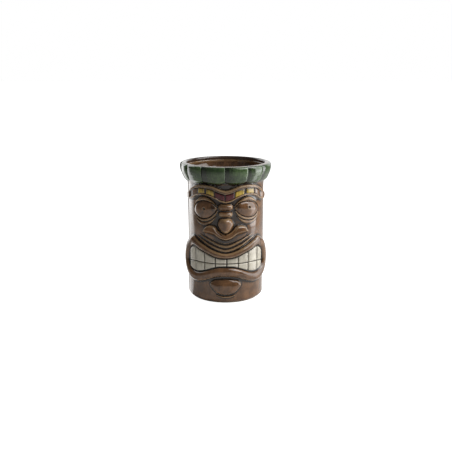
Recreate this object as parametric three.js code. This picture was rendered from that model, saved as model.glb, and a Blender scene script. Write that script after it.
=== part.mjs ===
// Tiki mug: a glazed earthenware tumbler. A drum-shaped cup carries a carved mask on its front and a
// collar of leaves under its rim. The mask is built up from separate sprigs of clay laid on the wall.
//
// Millimetres, +Z up. The origin is the middle of the foot, on the table. The mask looks along -Y.
// Left and right are as seen by someone who faces the mask, so right is +X.
//
// The mask is drawn on the unrolled wall: u runs round the cup from the middle of the mask, positive to
// the right, and z runs up. "Proud" is how far a point stands out from the cup's wall.

import * as THREE from "three";
import { mergeVertices } from "three/addons/utils/BufferGeometryUtils.js";

// Driving dimensions.
const HEIGHT = 145;
const CUP_RADIUS = 40.2;
const BORE_RADIUS = 36.2;
const FLOOR_THICKNESS = 4.5;
const FOOT_HEIGHT = 1.2;
const FOOT_RADIUS = 36.4;
const HEEL_ROUNDING = 3.4;
const RIM_BORE_RADIUS = 41.3;
const RIM_WIDTH = 2.6;
const RIM_HEIGHT = 3.5;
const CLEARANCE = 0.3;

// The wall flares out behind the leaves: [radius, z] from the bottom up.
const COLLAR_WALL = [
  [CUP_RADIUS, 122.5],
  [40.6, 125.3],
  [41.6, 127.5],
  [42.7, 129.5],
  [43.6, 132],
  [44.2, 135],
  [44.4, 138],
  [44.1, HEIGHT - RIM_HEIGHT - CLEARANCE],
];

const { lerp, clamp, degToRad } = THREE.MathUtils;

// Glazes, as colour, roughness and metalness.
const glaze = (color, roughness) => new THREE.MeshStandardMaterial({ color, roughness, metalness: 0 });
const BROWN = glaze(0x5f4230, 0.18);
const DARK_BROWN = glaze(0x2c2019, 0.2);
const GREEN = glaze(0x3f5a37, 0.18);
const GOLD = glaze(0xb4922f, 0.25);
const RED = glaze(0x5c1722, 0.25);
const IVORY = glaze(0xc9c3b1, 0.22);
const CLAY = glaze(0xb9ada0, 0.55);

// ---------------------------------------------------------------------------------------------------
// Ways to make a solid
// ---------------------------------------------------------------------------------------------------

// Moves each vertex of a closed geometry to where place puts it.
function shaped(geometry, place) {
  geometry.deleteAttribute("normal");
  geometry.deleteAttribute("uv");
  const solid = mergeVertices(geometry, 1e-5);
  const position = solid.getAttribute("position");
  for (let i = 0; i < position.count; i++) {
    const { x, y, z } = place(new THREE.Vector3().fromBufferAttribute(position, i));
    position.setXYZ(i, x, y, z);
  }
  return solid;
}

// A solid of revolution about the cup's axis, from [radius, z] points.
function turned(points, segments) {
  const profile = points.map(([radius, z]) => new THREE.Vector2(radius, z));
  return new THREE.LatheGeometry(profile, segments).rotateX(Math.PI / 2);
}

function wallRadius(z) {
  const above = COLLAR_WALL.findIndex(([, level]) => level > z);
  if (above === 0) return CUP_RADIUS;
  const [r0, z0] = COLLAR_WALL[above - 1];
  const [r1, z1] = COLLAR_WALL[above];
  return lerp(r0, r1, (z - z0) / (z1 - z0));
}

function onWall(u, z, proud) {
  const angle = u / CUP_RADIUS;
  const radius = wallRadius(z) + proud;
  return new THREE.Vector3(radius * Math.sin(angle), -radius * Math.cos(angle), z);
}

// A smooth z over |u|, through [u, z] points that run outwards from the middle of the mask.
function contour(points) {
  const slopes = points.map((_, i) => {
    const [u0, z0] = points[Math.max(i - 1, 0)];
    const [u1, z1] = points[Math.min(i + 1, points.length - 1)];
    return (z1 - z0) / (u1 - u0);
  });
  return (u) => {
    const x = clamp(Math.abs(u), points[0][0], points.at(-1)[0]);
    const i = Math.max(points.findLastIndex(([start]) => start < x), 0);
    const [u0, z0] = points[i];
    const [u1, z1] = points[i + 1];
    const span = u1 - u0;
    const t = (x - u0) / span;
    const rise = t * t * (3 - 2 * t);
    const bend = span * t * (1 - t) * ((1 - t) * slopes[i] - t * slopes[i + 1]);
    return lerp(z0, z1, rise) + bend;
  };
}

// A smooth closed outline through [u, z] points, which run round it anticlockwise.
function outline(points) {
  const corners = points.map(([u, z]) => new THREE.Vector3(u, z, 0));
  return new THREE.CatmullRomCurve3(corners, true, "centripetal");
}

// The same for an outline that is alike on both sides, from its right half, listed from the bottom up.
function evenOutline(rightHalf) {
  const leftHalf = rightHalf.slice(1, -1).map(([u, z]) => [-u, z]);
  return outline([...rightHalf, ...leftHalf.reverse()]);
}

// A line on the wall that follows a contour from one u to another, as a function of t from 0 to 1.
function along(from, to, height) {
  return (t) => {
    const u = lerp(from, to, t);
    return [u, height(u)];
  };
}

// A line that follows part of an outline, this far outside it.
function beside(edge, from, to, distance) {
  return (t) => {
    const turn = lerp(from, to, t);
    const { x: u, y: z } = edge.getPoint(turn);
    const { x: du, y: dz } = edge.getTangent(turn);
    return [u + dz * distance(t), z - du * distance(t)];
  };
}

// A strip of relief between two lines, from left to right. Its section lists [w, proud] from the lower
// line, where w is 0, to the upper one, where w is 1, and swell(u) scales how proud it stands.
function strip({ lower, upper, section, steps, swell = () => 1, base = CLEARANCE }) {
  const last = section.length - 1;
  const box = new THREE.BoxGeometry(1, 1, 1, steps, last, 1).translate(0.5, 0.5, 0.5);
  return shaped(box, ({ x: t, y, z: level }) => {
    const [w, proud] = section[Math.round(y * last)];
    const [u0, z0] = lower(t);
    const [u1, z1] = upper(t);
    const u = lerp(u0, u1, w);
    return onWall(u, lerp(z0, z1, w), level > 0.5 ? proud * swell(u) : base);
  });
}

// A pad of relief inside a closed outline. Its section lists [share, proud] from the outline, where
// share is 1, to the pad's middle, where it is 0.
function pad({ edge, middle: [u0, z0], section, steps, base = CLEARANCE }) {
  const back = [0, 0.35, 0.7, 1].map((share) => [share, base]);
  const profile = [...back, ...section].map(([share, proud]) => new THREE.Vector2(share, proud));
  return shaped(new THREE.LatheGeometry(profile, steps), ({ x, y: proud, z }) => {
    const turn = (Math.atan2(x, z) / (2 * Math.PI) + 1) % 1;
    const share = Math.hypot(x, z);
    const rim = edge.getPoint(turn);
    return onWall(lerp(u0, rim.x, share), lerp(z0, rim.y, share), proud);
  });
}

// A ring of relief between two closed outlines whose points pair off. Its section lists [w, proud] from
// the outer outline, where w is 1, to the inner one, where it is 0.
function ring({ inner, outer, section, steps }) {
  const back = [0, 0.5, 1].map((w) => [w, CLEARANCE]);
  const loop = [...back, ...section, back[0]].map(([w, proud]) => new THREE.Vector2(1 + w, proud));
  return shaped(new THREE.LatheGeometry(loop, steps), ({ x, y: proud, z }) => {
    const turn = (Math.atan2(x, z) / (2 * Math.PI) + 1) % 1;
    const w = Math.hypot(x, z) - 1;
    const point = inner.getPoint(turn).lerp(outer.getPoint(turn), w);
    return onWall(point.x, point.y, proud);
  });
}

function named(name, geometry, material) {
  const mesh = new THREE.Mesh(geometry, material);
  mesh.name = name;
  return mesh;
}

function group(...members) {
  const made = new THREE.Group();
  made.add(...members);
  return made;
}

// A rounded bead across a strip, this proud at its crest.
const bead = (crest) => [
  [0, 0.45 * crest],
  [0.2, 0.85 * crest],
  [0.5, crest],
  [0.8, 0.85 * crest],
  [1, 0.45 * crest],
];

// A dome across a pad, from its edge to its middle.
const dome = (rim, crown) => [
  [1, rim],
  [0.9, lerp(rim, crown, 0.45)],
  [0.7, lerp(rim, crown, 0.75)],
  [0.4, lerp(rim, crown, 0.94)],
  [0, crown],
];

// ---------------------------------------------------------------------------------------------------
// Cup: wall and floor, foot and rim
// ---------------------------------------------------------------------------------------------------

function makeCup() {
  const heel = [0, 0.33, 0.67, 1].map((share) => {
    const angle = (share * Math.PI) / 2;
    const underside = FOOT_HEIGHT + CLEARANCE;
    return [
      CUP_RADIUS - HEEL_ROUNDING * (1 - Math.sin(angle)),
      underside + HEEL_ROUNDING * (1 - Math.cos(angle)),
    ];
  });
  const floor = FOOT_HEIGHT + CLEARANCE + FLOOR_THICKNESS;
  const bore = [
    [RIM_BORE_RADIUS, HEIGHT - RIM_HEIGHT - CLEARANCE],
    [41.4, 138.5],
    [40.7, 135],
    [39.2, 131],
    [37.3, 126.5],
    [BORE_RADIUS, 121],
    [BORE_RADIUS, floor + 4],
    [BORE_RADIUS - 1.2, floor + 1.2],
    [BORE_RADIUS - 4, floor],
    [0, floor],
  ];
  const cup = turned([[0, FOOT_HEIGHT + CLEARANCE], ...heel, ...COLLAR_WALL, ...bore], 60);
  const foot = turned(
    [
      [FOOT_RADIUS - 5.6, 0],
      [FOOT_RADIUS - 0.4, 0],
      [FOOT_RADIUS, 0.4],
      [FOOT_RADIUS, FOOT_HEIGHT],
      [FOOT_RADIUS - 5.6, FOOT_HEIGHT],
      [FOOT_RADIUS - 5.6, 0],
    ],
    60,
  );
  const rimOuter = RIM_BORE_RADIUS + RIM_WIDTH;
  const rim = turned(
    [
      [RIM_BORE_RADIUS, HEIGHT - RIM_HEIGHT],
      [rimOuter, HEIGHT - RIM_HEIGHT],
      [rimOuter, HEIGHT - 0.9],
      [rimOuter - 0.7, HEIGHT - 0.2],
      [RIM_BORE_RADIUS + RIM_WIDTH / 2, HEIGHT],
      [RIM_BORE_RADIUS + 0.7, HEIGHT - 0.2],
      [RIM_BORE_RADIUS, HEIGHT - 0.9],
      [RIM_BORE_RADIUS, HEIGHT - RIM_HEIGHT],
    ],
    60,
  );
  return [named("cup_body", cup, BROWN), named("foot_ring", foot, CLAY), named("rim_lip", rim, CLAY)];
}

// ---------------------------------------------------------------------------------------------------
// Collar of leaves
// ---------------------------------------------------------------------------------------------------

// Where one leaf ends and the next begins, in degrees round the cup from the middle of the mask.
const LEAF_EDGES = [-1, 28, 52.5, 78, 106, 134, 162, 190, 217, 244.5, 273, 301, 328];

// A leaf's back and face, [radius, z] from its tip up and over to the rim.
const LEAF_BACK = [
  [41.9, 126.9],
  [43.05, 129.3],
  [43.95, 131.9],
  [44.55, 135],
  [44.75, 138],
  [44.5, 141.2],
  [44.25, 142.8],
  [44.25, 144.1],
];
const LEAF_FACE = [
  [42.4, 126.4],
  [44.5, 128.8],
  [46.3, 131.9],
  [47.9, 135.2],
  [48.75, 138.6],
  [48.8, 141.4],
  [47.6, 143.6],
  [45.0, 144.6],
];
const TIP_ROUNDING = 0.1;
// A leaf tucks in under its neighbour on the left and stands out most near its right edge.
const TUCK = 0.42;
const EDGE_DROP = 0.12;

function makeLeaves() {
  const curve = (points) => new THREE.SplineCurve(points.map(([r, z]) => new THREE.Vector2(r, z)));
  const back = curve(LEAF_BACK);
  const face = curve(LEAF_FACE);
  const gap = CLEARANCE / COLLAR_WALL[0][0];
  return LEAF_EDGES.map((start, i) => {
    const end = i + 1 < LEAF_EDGES.length ? LEAF_EDGES[i + 1] : LEAF_EDGES[0] + 360;
    const width = degToRad(end - start) - gap;
    const box = new THREE.BoxGeometry(1, 1, 1, 6, 7, 1).translate(0, 0.5, 0.5);
    const leaf = shaped(box, ({ x, y, z: level }) => {
      const share = lerp(TIP_ROUNDING * Math.abs(2 * x) ** 3, 1, y);
      const near = back.getPoint(share);
      const far = face.getPoint(share);
      const thickness = 1 - TUCK * (0.5 - x) ** 2 - EDGE_DROP * (0.5 + x) ** 8;
      const point = near.clone().lerp(far, level * thickness);
      const angle = x * width;
      return new THREE.Vector3(point.x * Math.sin(angle), -point.x * Math.cos(angle), point.y);
    });
    const mesh = named(`leaf_${String(i + 1).padStart(2, "0")}`, leaf, GREEN);
    mesh.rotation.z = degToRad((start + end) / 2);
    return mesh;
  });
}

// ---------------------------------------------------------------------------------------------------
// Brow band and its tiles
// ---------------------------------------------------------------------------------------------------

const BROW_TOP = contour([
  [0, 120.8],
  [4, 121.6],
  [8.5, 123.4],
  [13.3, 125.2],
  [18, 126],
  [24, 126.1],
  [32, 124.9],
  [39, 121.9],
  [45, 118],
  [49.5, 115],
  [51, 113.2],
]);
const BROW_BOTTOM = contour([
  [0, 107.7],
  [6, 109.6],
  [10, 111.8],
  [14, 113.5],
  [18.4, 114.7],
  [24, 115.2],
  [31, 113.9],
  [38.8, 109.9],
  [45, 107.9],
  [49.5, 108.9],
  [51, 111],
]);
// The band's upper border is wider than its lower one.
const BROW_SECTION = [
  [0, 0.5],
  [0.05, 0.95],
  [0.11, 1],
  [0.17, 0.72],
  [0.7, 0.72],
  [0.77, 1],
  [0.92, 0.98],
  [1, 0.5],
];
const browSwell = (u) => 5.2 - 0.045 * Math.abs(u);

// Each tile: its name, its glaze and where it runs from and to. The red ones meet left of the middle.
const TILES = [
  ["brown_left", BROWN, -37, -29.6],
  ["gold_outer_left", GOLD, -28.6, -20.8],
  ["gold_inner_left", GOLD, -18.8, -11.1],
  ["red_left", RED, -10.2, -1],
  ["red_right", RED, -0.1, 8.1],
  ["gold_inner_right", GOLD, 8.9, 18],
  ["gold_outer_right", GOLD, 20.2, 29.3],
  ["brown_right", BROWN, 30.3, 38],
];
const TILE_THICKNESS = 0.8;
const TILE_BOTTOM = 0.2;
const TILE_TOP = 0.67;

function makeBrow() {
  const band = strip({
    lower: along(-51, 51, BROW_BOTTOM),
    upper: along(-51, 51, BROW_TOP),
    section: BROW_SECTION,
    swell: browSwell,
    steps: 34,
  });
  const tiles = TILES.map(([name, material, from, to]) => {
    const bed = 0.72 * Math.max(browSwell(from), browSwell(to)) + CLEARANCE;
    const face = bed + TILE_THICKNESS;
    const tile = strip({
      lower: along(from, to, (u) => lerp(BROW_BOTTOM(u), BROW_TOP(u), TILE_BOTTOM)),
      upper: along(from, to, (u) => lerp(BROW_BOTTOM(u), BROW_TOP(u), TILE_TOP)),
      section: [[0, face - 0.15], [0.2, face], [0.8, face], [1, face - 0.15]],
      steps: 4,
      base: bed,
    });
    return named(`brow_tile_${name}`, tile, material);
  });
  return [named("brow_band", band, BROWN), ...tiles];
}

// ---------------------------------------------------------------------------------------------------
// Eyes
// ---------------------------------------------------------------------------------------------------

// Each eye's pupil and its outline, as distances from the middle of the mask. The outline runs from the
// inner corner along the lower lid to the outer corner, and back. The left eye is the larger.
const EYES = {
  right: {
    pupil: [23.4, 102.9],
    edge: [
      [9.3, 102.2],
      [11.9, 98.6],
      [15.6, 95.3],
      [21, 93],
      [25.9, 92.4],
      [31, 93.2],
      [34.8, 96],
      [36.3, 99.8],
      [35.2, 103.6],
      [31.2, 106.9],
      [25.3, 108.6],
      [19.5, 108.9],
      [14.2, 107.8],
      [11.2, 105.3],
    ],
  },
  left: {
    pupil: [21.1, 101.4],
    edge: [
      [8.5, 102.3],
      [10, 98.6],
      [13.1, 95.1],
      [17.4, 92.3],
      [22.6, 90.8],
      [27, 91.3],
      [31.3, 93.4],
      [34.3, 96.9],
      [34.6, 101],
      [32.4, 104.9],
      [27.5, 108],
      [22, 109.3],
      [16.4, 108.6],
      [12, 106.2],
    ],
  },
};

function makeEye(side, { pupil, edge: points }) {
  const edge = outline(points);
  const ball = pad({
    edge,
    middle: pupil,
    section: [
      [1, 1.2],
      [0.86, 2.3],
      [0.65, 3.3],
      [0.4, 4],
      [0.13, 4.3],
      [0.09, 3.6],
      [0, 3.5],
    ],
    steps: 28,
  });
  const widest = (least, most, sharpness) => (t) => lerp(least, most, Math.sin(Math.PI * t) ** sharpness);
  const upperLid = strip({
    lower: beside(edge, 0.98, 0.52, () => 0.4),
    upper: beside(edge, 0.98, 0.52, widest(1.3, 4.9, 3)),
    section: bead(3.2),
    steps: 14,
  });
  const lowerLid = strip({
    lower: beside(edge, 0.03, 0.47, widest(1.1, 3, 0.6)),
    upper: beside(edge, 0.03, 0.47, () => 0.4),
    section: bead(2.6),
    steps: 14,
  });
  const bag = strip({
    lower: beside(edge, 0.11, 0.44, widest(3.8, 7.3, 1.2)),
    upper: beside(edge, 0.11, 0.44, widest(3, 3.6, 0.6)),
    section: [
      [0, 0.7],
      [0.3, 1.2],
      [0.6, 1.7],
      [0.8, 2.1],
      [1, 1.2],
    ],
    steps: 14,
  });
  const meshes = [
    named(`eye_${side}`, ball, BROWN),
    named(`upper_eyelid_${side}`, upperLid, BROWN),
    named(`lower_eyelid_${side}`, lowerLid, BROWN),
    named(`eye_bag_${side}`, bag, BROWN),
  ];
  const eye = group(...meshes);
  eye.scale.x = side === "left" ? -1 : 1;
  return eye;
}

// ---------------------------------------------------------------------------------------------------
// Nose
// ---------------------------------------------------------------------------------------------------

const NOSE_TIP_EDGE = [
  [0, 76.9],
  [3.7, 78.3],
  [6.8, 81.2],
  [8.8, 85],
  [8.2, 88.8],
  [5.6, 91.6],
  [0, 92.5],
];
const WINGS_TOP = contour([
  [0, 75.4],
  [3.6, 76.8],
  [7.3, 79.8],
  [9.9, 83],
  [12.7, 84.2],
  [17.5, 84.1],
  [21, 82.3],
  [22.8, 78.4],
]);
const WINGS_BOTTOM = contour([
  [0, 64.9],
  [4, 65.6],
  [9, 67.4],
  [14, 69.3],
  [18.5, 71.4],
  [21.3, 73.4],
  [22.8, 76],
]);

function makeNose() {
  const upperBridge = pad({
    edge: evenOutline([[0, 100.2], [4.6, 100.2], [7.2, 102.2], [7.2, 105], [4.4, 106.8], [0, 106.7]]),
    middle: [0, 103.5],
    section: dome(1.2, 4.6),
    steps: 20,
  });
  const lowerBridge = pad({
    edge: evenOutline([[0, 93.6], [4.6, 93.6], [6.8, 95.3], [6.6, 97.8], [4.2, 99.2], [0, 99.3]]),
    middle: [0, 96.5],
    section: dome(1.4, 5.4),
    steps: 20,
  });
  const tip = pad({
    edge: evenOutline(NOSE_TIP_EDGE),
    middle: [0, 84.5],
    section: dome(2.6, 8),
    steps: 24,
  });
  const wings = strip({
    lower: along(-22.8, 22.8, WINGS_BOTTOM),
    upper: along(-22.8, 22.8, WINGS_TOP),
    section: [
      [0, 0.3],
      [0.2, 0.68],
      [0.42, 1],
      [0.6, 0.92],
      [0.85, 0.66],
      [1, 0.45],
    ],
    swell: (u) => 6.4 - 0.05 * Math.abs(u),
    steps: 26,
  });
  return [
    named("nose_bridge_upper", upperBridge, BROWN),
    named("nose_bridge_lower", lowerBridge, BROWN),
    named("nose_tip", tip, BROWN),
    named("nose_wings", wings, BROWN),
  ];
}

// ---------------------------------------------------------------------------------------------------
// Mouth: folds over the lip, the ring of the lips, the gum and its teeth
// ---------------------------------------------------------------------------------------------------

// The lips' outer and inner edges on the right half, from the bottom up. Their points pair off.
const LIPS_OUTER = [
  [0, 30.1],
  [9, 29.4],
  [16, 27],
  [24, 23.8],
  [32, 21.9],
  [40, 22.8],
  [47.5, 27.5],
  [53, 35.5],
  [55, 44.8],
  [53.4, 54.6],
  [49, 62.7],
  [43, 68.2],
  [36.3, 71],
  [30, 67.6],
  [20, 62.4],
  [10, 57.9],
  [0, 55.6],
];
const LIPS_INNER = [
  [0, 40.7],
  [8, 40.2],
  [15, 38],
  [22, 35.2],
  [29, 33.3],
  [35.5, 33.3],
  [41, 35.2],
  [45, 38.9],
  [46.8, 43.6],
  [45.6, 49.4],
  [43.2, 54],
  [39.8, 58.3],
  [34.5, 60.3],
  [27.6, 57.9],
  [18, 54.3],
  [9.5, 50.9],
  [0, 49.9],
];
const TEETH_TOP = contour([...LIPS_INNER.slice(8)].reverse());
const TEETH_BOTTOM = contour(LIPS_INNER.slice(0, 9));
const BITE = contour([
  [0, 44.3],
  [19, 44.2],
  [30, 44.2],
  [38, 43.6],
  [46.8, 42.8],
]);
const TOOTH_EDGES = [-42.4, -32.8, -21.5, -10.2, 1.1, 12.5, 23.4, 35.2, 43];
const GUM_THICKNESS = 1;

const FOLD_LINES = {
  upper: [
    [0, 62.2],
    [6.3, 63.7],
    [12.3, 66.4],
    [18.7, 69.4],
    [26, 72.5],
    [29, 73.6],
  ],
  lower: [
    [0, 57.8],
    [6.3, 59.1],
    [12.3, 61.5],
    [18.7, 64.5],
    [26.5, 68.7],
    [32.5, 71.3],
  ],
};

function makeFolds() {
  return Object.entries(FOLD_LINES).map(([name, points]) => {
    const [reach] = points.at(-1);
    const line = contour(points);
    const halfWidth = (u) => 1.45 - 0.6 * (Math.abs(u) / reach) ** 2;
    const fold = strip({
      lower: along(-reach, reach, (u) => line(u) - halfWidth(u)),
      upper: along(-reach, reach, (u) => line(u) + halfWidth(u)),
      section: bead(2.3),
      swell: (u) => 1 - 0.35 * (Math.abs(u) / reach) ** 2,
      steps: 20,
    });
    return named(`lip_fold_${name}`, fold, BROWN);
  });
}

function makeTeeth() {
  const bed = CLEARANCE + GUM_THICKNESS + CLEARANCE;
  const rows = {
    upper: [(u) => BITE(u) + 0.35, (u) => TEETH_TOP(u) - 1],
    lower: [(u) => TEETH_BOTTOM(u) + 1, (u) => BITE(u) - 0.35],
  };
  const columns = TOOTH_EDGES.slice(1).map((to, i) => [TOOTH_EDGES[i] + 0.45, to - 0.45]);
  return Object.entries(rows).flatMap(([row, [lower, upper]]) =>
    columns.map(([from, to], i) => {
      const tooth = strip({
        lower: along(from, to, lower),
        upper: along(from, to, upper),
        section: [[0, 2.2], [0.12, 2.75], [0.5, 3], [0.88, 2.75], [1, 2.2]],
        steps: 4,
        base: bed,
      });
      return named(`tooth_${row}_${i + 1}`, tooth, IVORY);
    }),
  );
}

function makeMouth() {
  const lips = ring({
    inner: evenOutline(LIPS_INNER),
    outer: evenOutline(LIPS_OUTER),
    section: [
      [1, 1.4],
      [0.9, 3.4],
      [0.7, 4.7],
      [0.45, 5.1],
      [0.2, 4.5],
      [0, 2.6],
    ],
    steps: 64,
  });
  const gum = strip({
    lower: along(-46.2, 46.2, (u) => TEETH_BOTTOM(u) + 0.4),
    upper: along(-46.2, 46.2, (u) => TEETH_TOP(u) - 0.4),
    section: [0, 0.33, 0.67, 1].map((w) => [w, CLEARANCE + GUM_THICKNESS]),
    steps: 32,
  });
  return [...makeFolds(), named("lips", lips, BROWN), named("gum_plate", gum, DARK_BROWN), ...makeTeeth()];
}

// ---------------------------------------------------------------------------------------------------
// Chin
// ---------------------------------------------------------------------------------------------------

function makeChin() {
  const edge = [
    [0, 10.4],
    [5, 11.1],
    [9.8, 13.2],
    [14, 17],
    [16.2, 21.2],
    [13.6, 25],
    [8, 26.9],
    [0, 27.4],
  ];
  const chin = pad({
    edge: evenOutline(edge),
    middle: [0, 19.5],
    section: dome(1.2, 4.6),
    steps: 24,
  });
  const line = contour([[0, 7.6], [5, 8.1], [9.8, 9.7]]);
  const crease = strip({
    lower: along(-9.8, 9.8, (u) => line(u) - 0.8),
    upper: along(-9.8, 9.8, (u) => line(u) + 0.8),
    section: bead(1.4),
    steps: 10,
  });
  return [named("chin", chin, BROWN), named("chin_crease", crease, BROWN)];
}

// ---------------------------------------------------------------------------------------------------

const mug = group(
  group(...makeCup()),
  group(...makeLeaves()),
  group(...makeBrow(), ...makeNose(), ...makeMouth(), ...makeChin()),
  ...Object.entries(EYES).map(([side, eye]) => makeEye(side, eye)),
);

export default mug;
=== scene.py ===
"""A glazed ceramic tiki mug: a drum-shaped cup with a mask in relief and a collar of leaves.

Sizes are millimetres until a mesh is made. The mask is drawn on the unrolled wall: u runs round the cup
from the middle of the mask, positive to the right, z runs up, and "proud" is how far a point stands out
from the wall.
"""

import bmesh
import bpy
import math
import numpy as np
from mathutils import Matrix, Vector


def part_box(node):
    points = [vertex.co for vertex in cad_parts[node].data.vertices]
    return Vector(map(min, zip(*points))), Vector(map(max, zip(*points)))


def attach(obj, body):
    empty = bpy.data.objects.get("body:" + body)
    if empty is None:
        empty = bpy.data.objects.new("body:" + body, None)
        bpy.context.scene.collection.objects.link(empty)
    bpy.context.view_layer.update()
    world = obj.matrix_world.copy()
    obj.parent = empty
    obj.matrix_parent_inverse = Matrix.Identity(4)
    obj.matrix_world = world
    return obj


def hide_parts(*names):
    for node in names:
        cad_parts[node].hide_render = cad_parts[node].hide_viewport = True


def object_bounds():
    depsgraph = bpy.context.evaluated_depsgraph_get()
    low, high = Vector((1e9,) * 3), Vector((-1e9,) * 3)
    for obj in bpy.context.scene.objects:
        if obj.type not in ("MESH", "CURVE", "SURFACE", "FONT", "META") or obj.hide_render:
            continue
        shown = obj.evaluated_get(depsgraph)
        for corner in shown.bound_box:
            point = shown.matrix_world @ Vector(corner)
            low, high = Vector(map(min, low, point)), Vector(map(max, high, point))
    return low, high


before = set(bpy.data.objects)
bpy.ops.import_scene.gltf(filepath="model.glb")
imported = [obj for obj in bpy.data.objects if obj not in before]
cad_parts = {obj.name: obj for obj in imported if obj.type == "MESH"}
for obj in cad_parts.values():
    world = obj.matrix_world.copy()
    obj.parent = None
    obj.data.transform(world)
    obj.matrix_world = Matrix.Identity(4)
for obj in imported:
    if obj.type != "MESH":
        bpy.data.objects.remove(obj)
CAD_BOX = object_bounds()

MM = 0.001
CUP_RADIUS = 40.2
BORE_RADIUS = 36.2
HEEL_ROUNDING = 3.4
UNDERSIDE = 1.4
FLOOR_TOP = 6.0
HEIGHT = CAD_BOX[1].z / MM
FOOT_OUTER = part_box("foot_ring")[1].x / MM
FOOT_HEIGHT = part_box("foot_ring")[1].z / MM
FOOT_INNER = FOOT_OUTER - 5.6

# The wall flares out behind the leaves: [radius, z] from the bottom up.
WALL = np.array([
    [CUP_RADIUS, 122.5], [40.6, 125.3], [41.6, 127.5], [42.7, 129.5],
    [43.6, 132.0], [44.2, 135.0], [44.4, 138.0], [44.1, 141.2],
])

HEM = 0.35  # how far a sprig's edge runs on under the surface around it
HEM_DEPTH = 0.3
ROOT_DEPTH = 0.9  # how deep a sprig's back lies in the wall
LIFT = 0.03  # how far a sprig's face stands clear of the wall that it grows out of
SPACING = 0.45  # between a sprig's vertices


# --------------------------------------------------------------------------------------------------
# Curves and distances on the unrolled wall
# --------------------------------------------------------------------------------------------------

def lerp(a, b, t):
    return a + (b - a) * t


def ramp(value, start, end):
    """0 up to start, 1 from end, and smooth between them."""
    t = np.clip((value - start) / (end - start), 0, 1)
    return t * t * (3 - 2 * t)


def hermite(a, b, slope_a, slope_b, span, t):
    """A cubic from a to b with those slopes at its ends."""
    return lerp(a, b, t * t * (3 - 2 * t)) + span * t * (1 - t) * ((1 - t) * slope_a - t * slope_b)


def contour(points):
    """A smooth z over |u|, through points that run outwards from the middle of the mask."""
    u, z = np.array(points, float).T
    ends = np.arange(len(u))
    before, after = np.maximum(ends - 1, 0), np.minimum(ends + 1, len(u) - 1)
    slope = (z[after] - z[before]) / (u[after] - u[before])

    def height(at):
        x = np.clip(np.abs(at), u[0], u[-1])
        i = np.clip(np.searchsorted(u, x) - 1, 0, len(u) - 2)
        span = u[i + 1] - u[i]
        return hermite(z[i], z[i + 1], slope[i], slope[i + 1], span, (x - u[i]) / span)

    return height


def curve(points, closed=False, spacing=SPACING):
    """Evenly spaced points along a smooth curve through these ones."""
    p = np.array(points, float)
    first, last = (p[-1:], p[:2]) if closed else (2 * p[:1] - p[1:2], 2 * p[-1:] - p[-2:-1])
    p = np.vstack([first, p, last])
    step = np.linalg.norm(np.diff(p, axis=0), axis=1)
    slope = (p[2:] - p[:-2]) / (step[1:] + step[:-1])[:, None]
    t = np.linspace(0, 1, 16, endpoint=False)[None, :, None]
    inner = slice(1, -2), slice(2, -1)
    fine = hermite(p[inner[0], None], p[inner[1], None], slope[:-1, None], slope[1:, None],
                   step[1:-1, None, None], t)
    fine = np.vstack([fine.reshape(-1, 2), p[-2]])
    along = np.concatenate([[0], np.cumsum(np.linalg.norm(np.diff(fine, axis=0), axis=1))])
    at = np.linspace(0, along[-1], int(along[-1] / spacing) + 2)
    if closed:
        at = at[:-1]
    return np.stack([np.interp(at, along, fine[:, k]) for k in (0, 1)], axis=1)


def even(right_half):
    """The points of an outline that is alike on both sides, from its right half, bottom up."""
    return list(right_half) + [(-u, z) for u, z in right_half[-2:0:-1]]


def depth_inside(loop, u, z):
    """How far each point lies inside a closed outline; below 0 outside it."""
    nearest = np.full(u.shape, np.inf)
    inside = np.zeros(u.shape, bool)
    for (u0, z0), (u1, z1) in zip(loop, np.roll(loop, -1, axis=0)):
        du, dz = u1 - u0, z1 - z0
        t = np.clip(((u - u0) * du + (z - z0) * dz) / (du * du + dz * dz), 0, 1)
        nearest = np.minimum(nearest, np.hypot(u - u0 - t * du, z - z0 - t * dz))
        if dz:
            inside ^= ((z0 > z) != (z1 > z)) & (u < u0 + (z - z0) * du / dz)
    return np.where(inside, nearest, -nearest)


def normals(line, closed):
    """The unit normal at each point of a line, to the right of the way it runs."""
    if closed:
        along = np.roll(line, -1, axis=0) - np.roll(line, 1, axis=0)
    else:
        along = np.gradient(line, axis=0)
    along /= np.linalg.norm(along, axis=1)[:, None]
    return np.stack([along[:, 1], -along[:, 0]], axis=1)


# --------------------------------------------------------------------------------------------------
# Relief: how far the mask stands out from the wall, over a grid of u and z
# --------------------------------------------------------------------------------------------------

CELL = 0.25
REACH = 64
RELIEF_TOP = 130


def smooth_max(a, b, blend):
    t = np.clip(0.5 + 0.5 * (b - a) / blend, 0, 1)
    return lerp(a, b, t) + blend * t * (1 - t)


def sampled(field, u, z):
    """A field's value at each point, between its cells."""
    x = np.clip((u + REACH) / CELL, 0, field.shape[1] - 1.001)
    y = np.clip(z / CELL, 0, field.shape[0] - 1.001)
    i, j = y.astype(int), x.astype(int)
    lower = lerp(field[i, j], field[i, j + 1], x - j)
    upper = lerp(field[i + 1, j], field[i + 1, j + 1], x - j)
    return lerp(lower, upper, y - i)


def blurred(field, radius):
    """The field, softened over a radius in millimetres."""
    reach = int(3 * radius / CELL)
    weights = np.exp(-0.5 * (np.arange(-reach, reach + 1) * CELL / radius) ** 2)
    weights /= weights.sum()
    for axis in (0, 1):
        padded = np.pad(field, [(reach, reach) if k == axis else (0, 0) for k in (0, 1)], mode="edge")
        size = field.shape[axis]
        field = sum(w * np.take(padded, range(i, i + size), axis=axis) for i, w in enumerate(weights))
    return field


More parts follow.
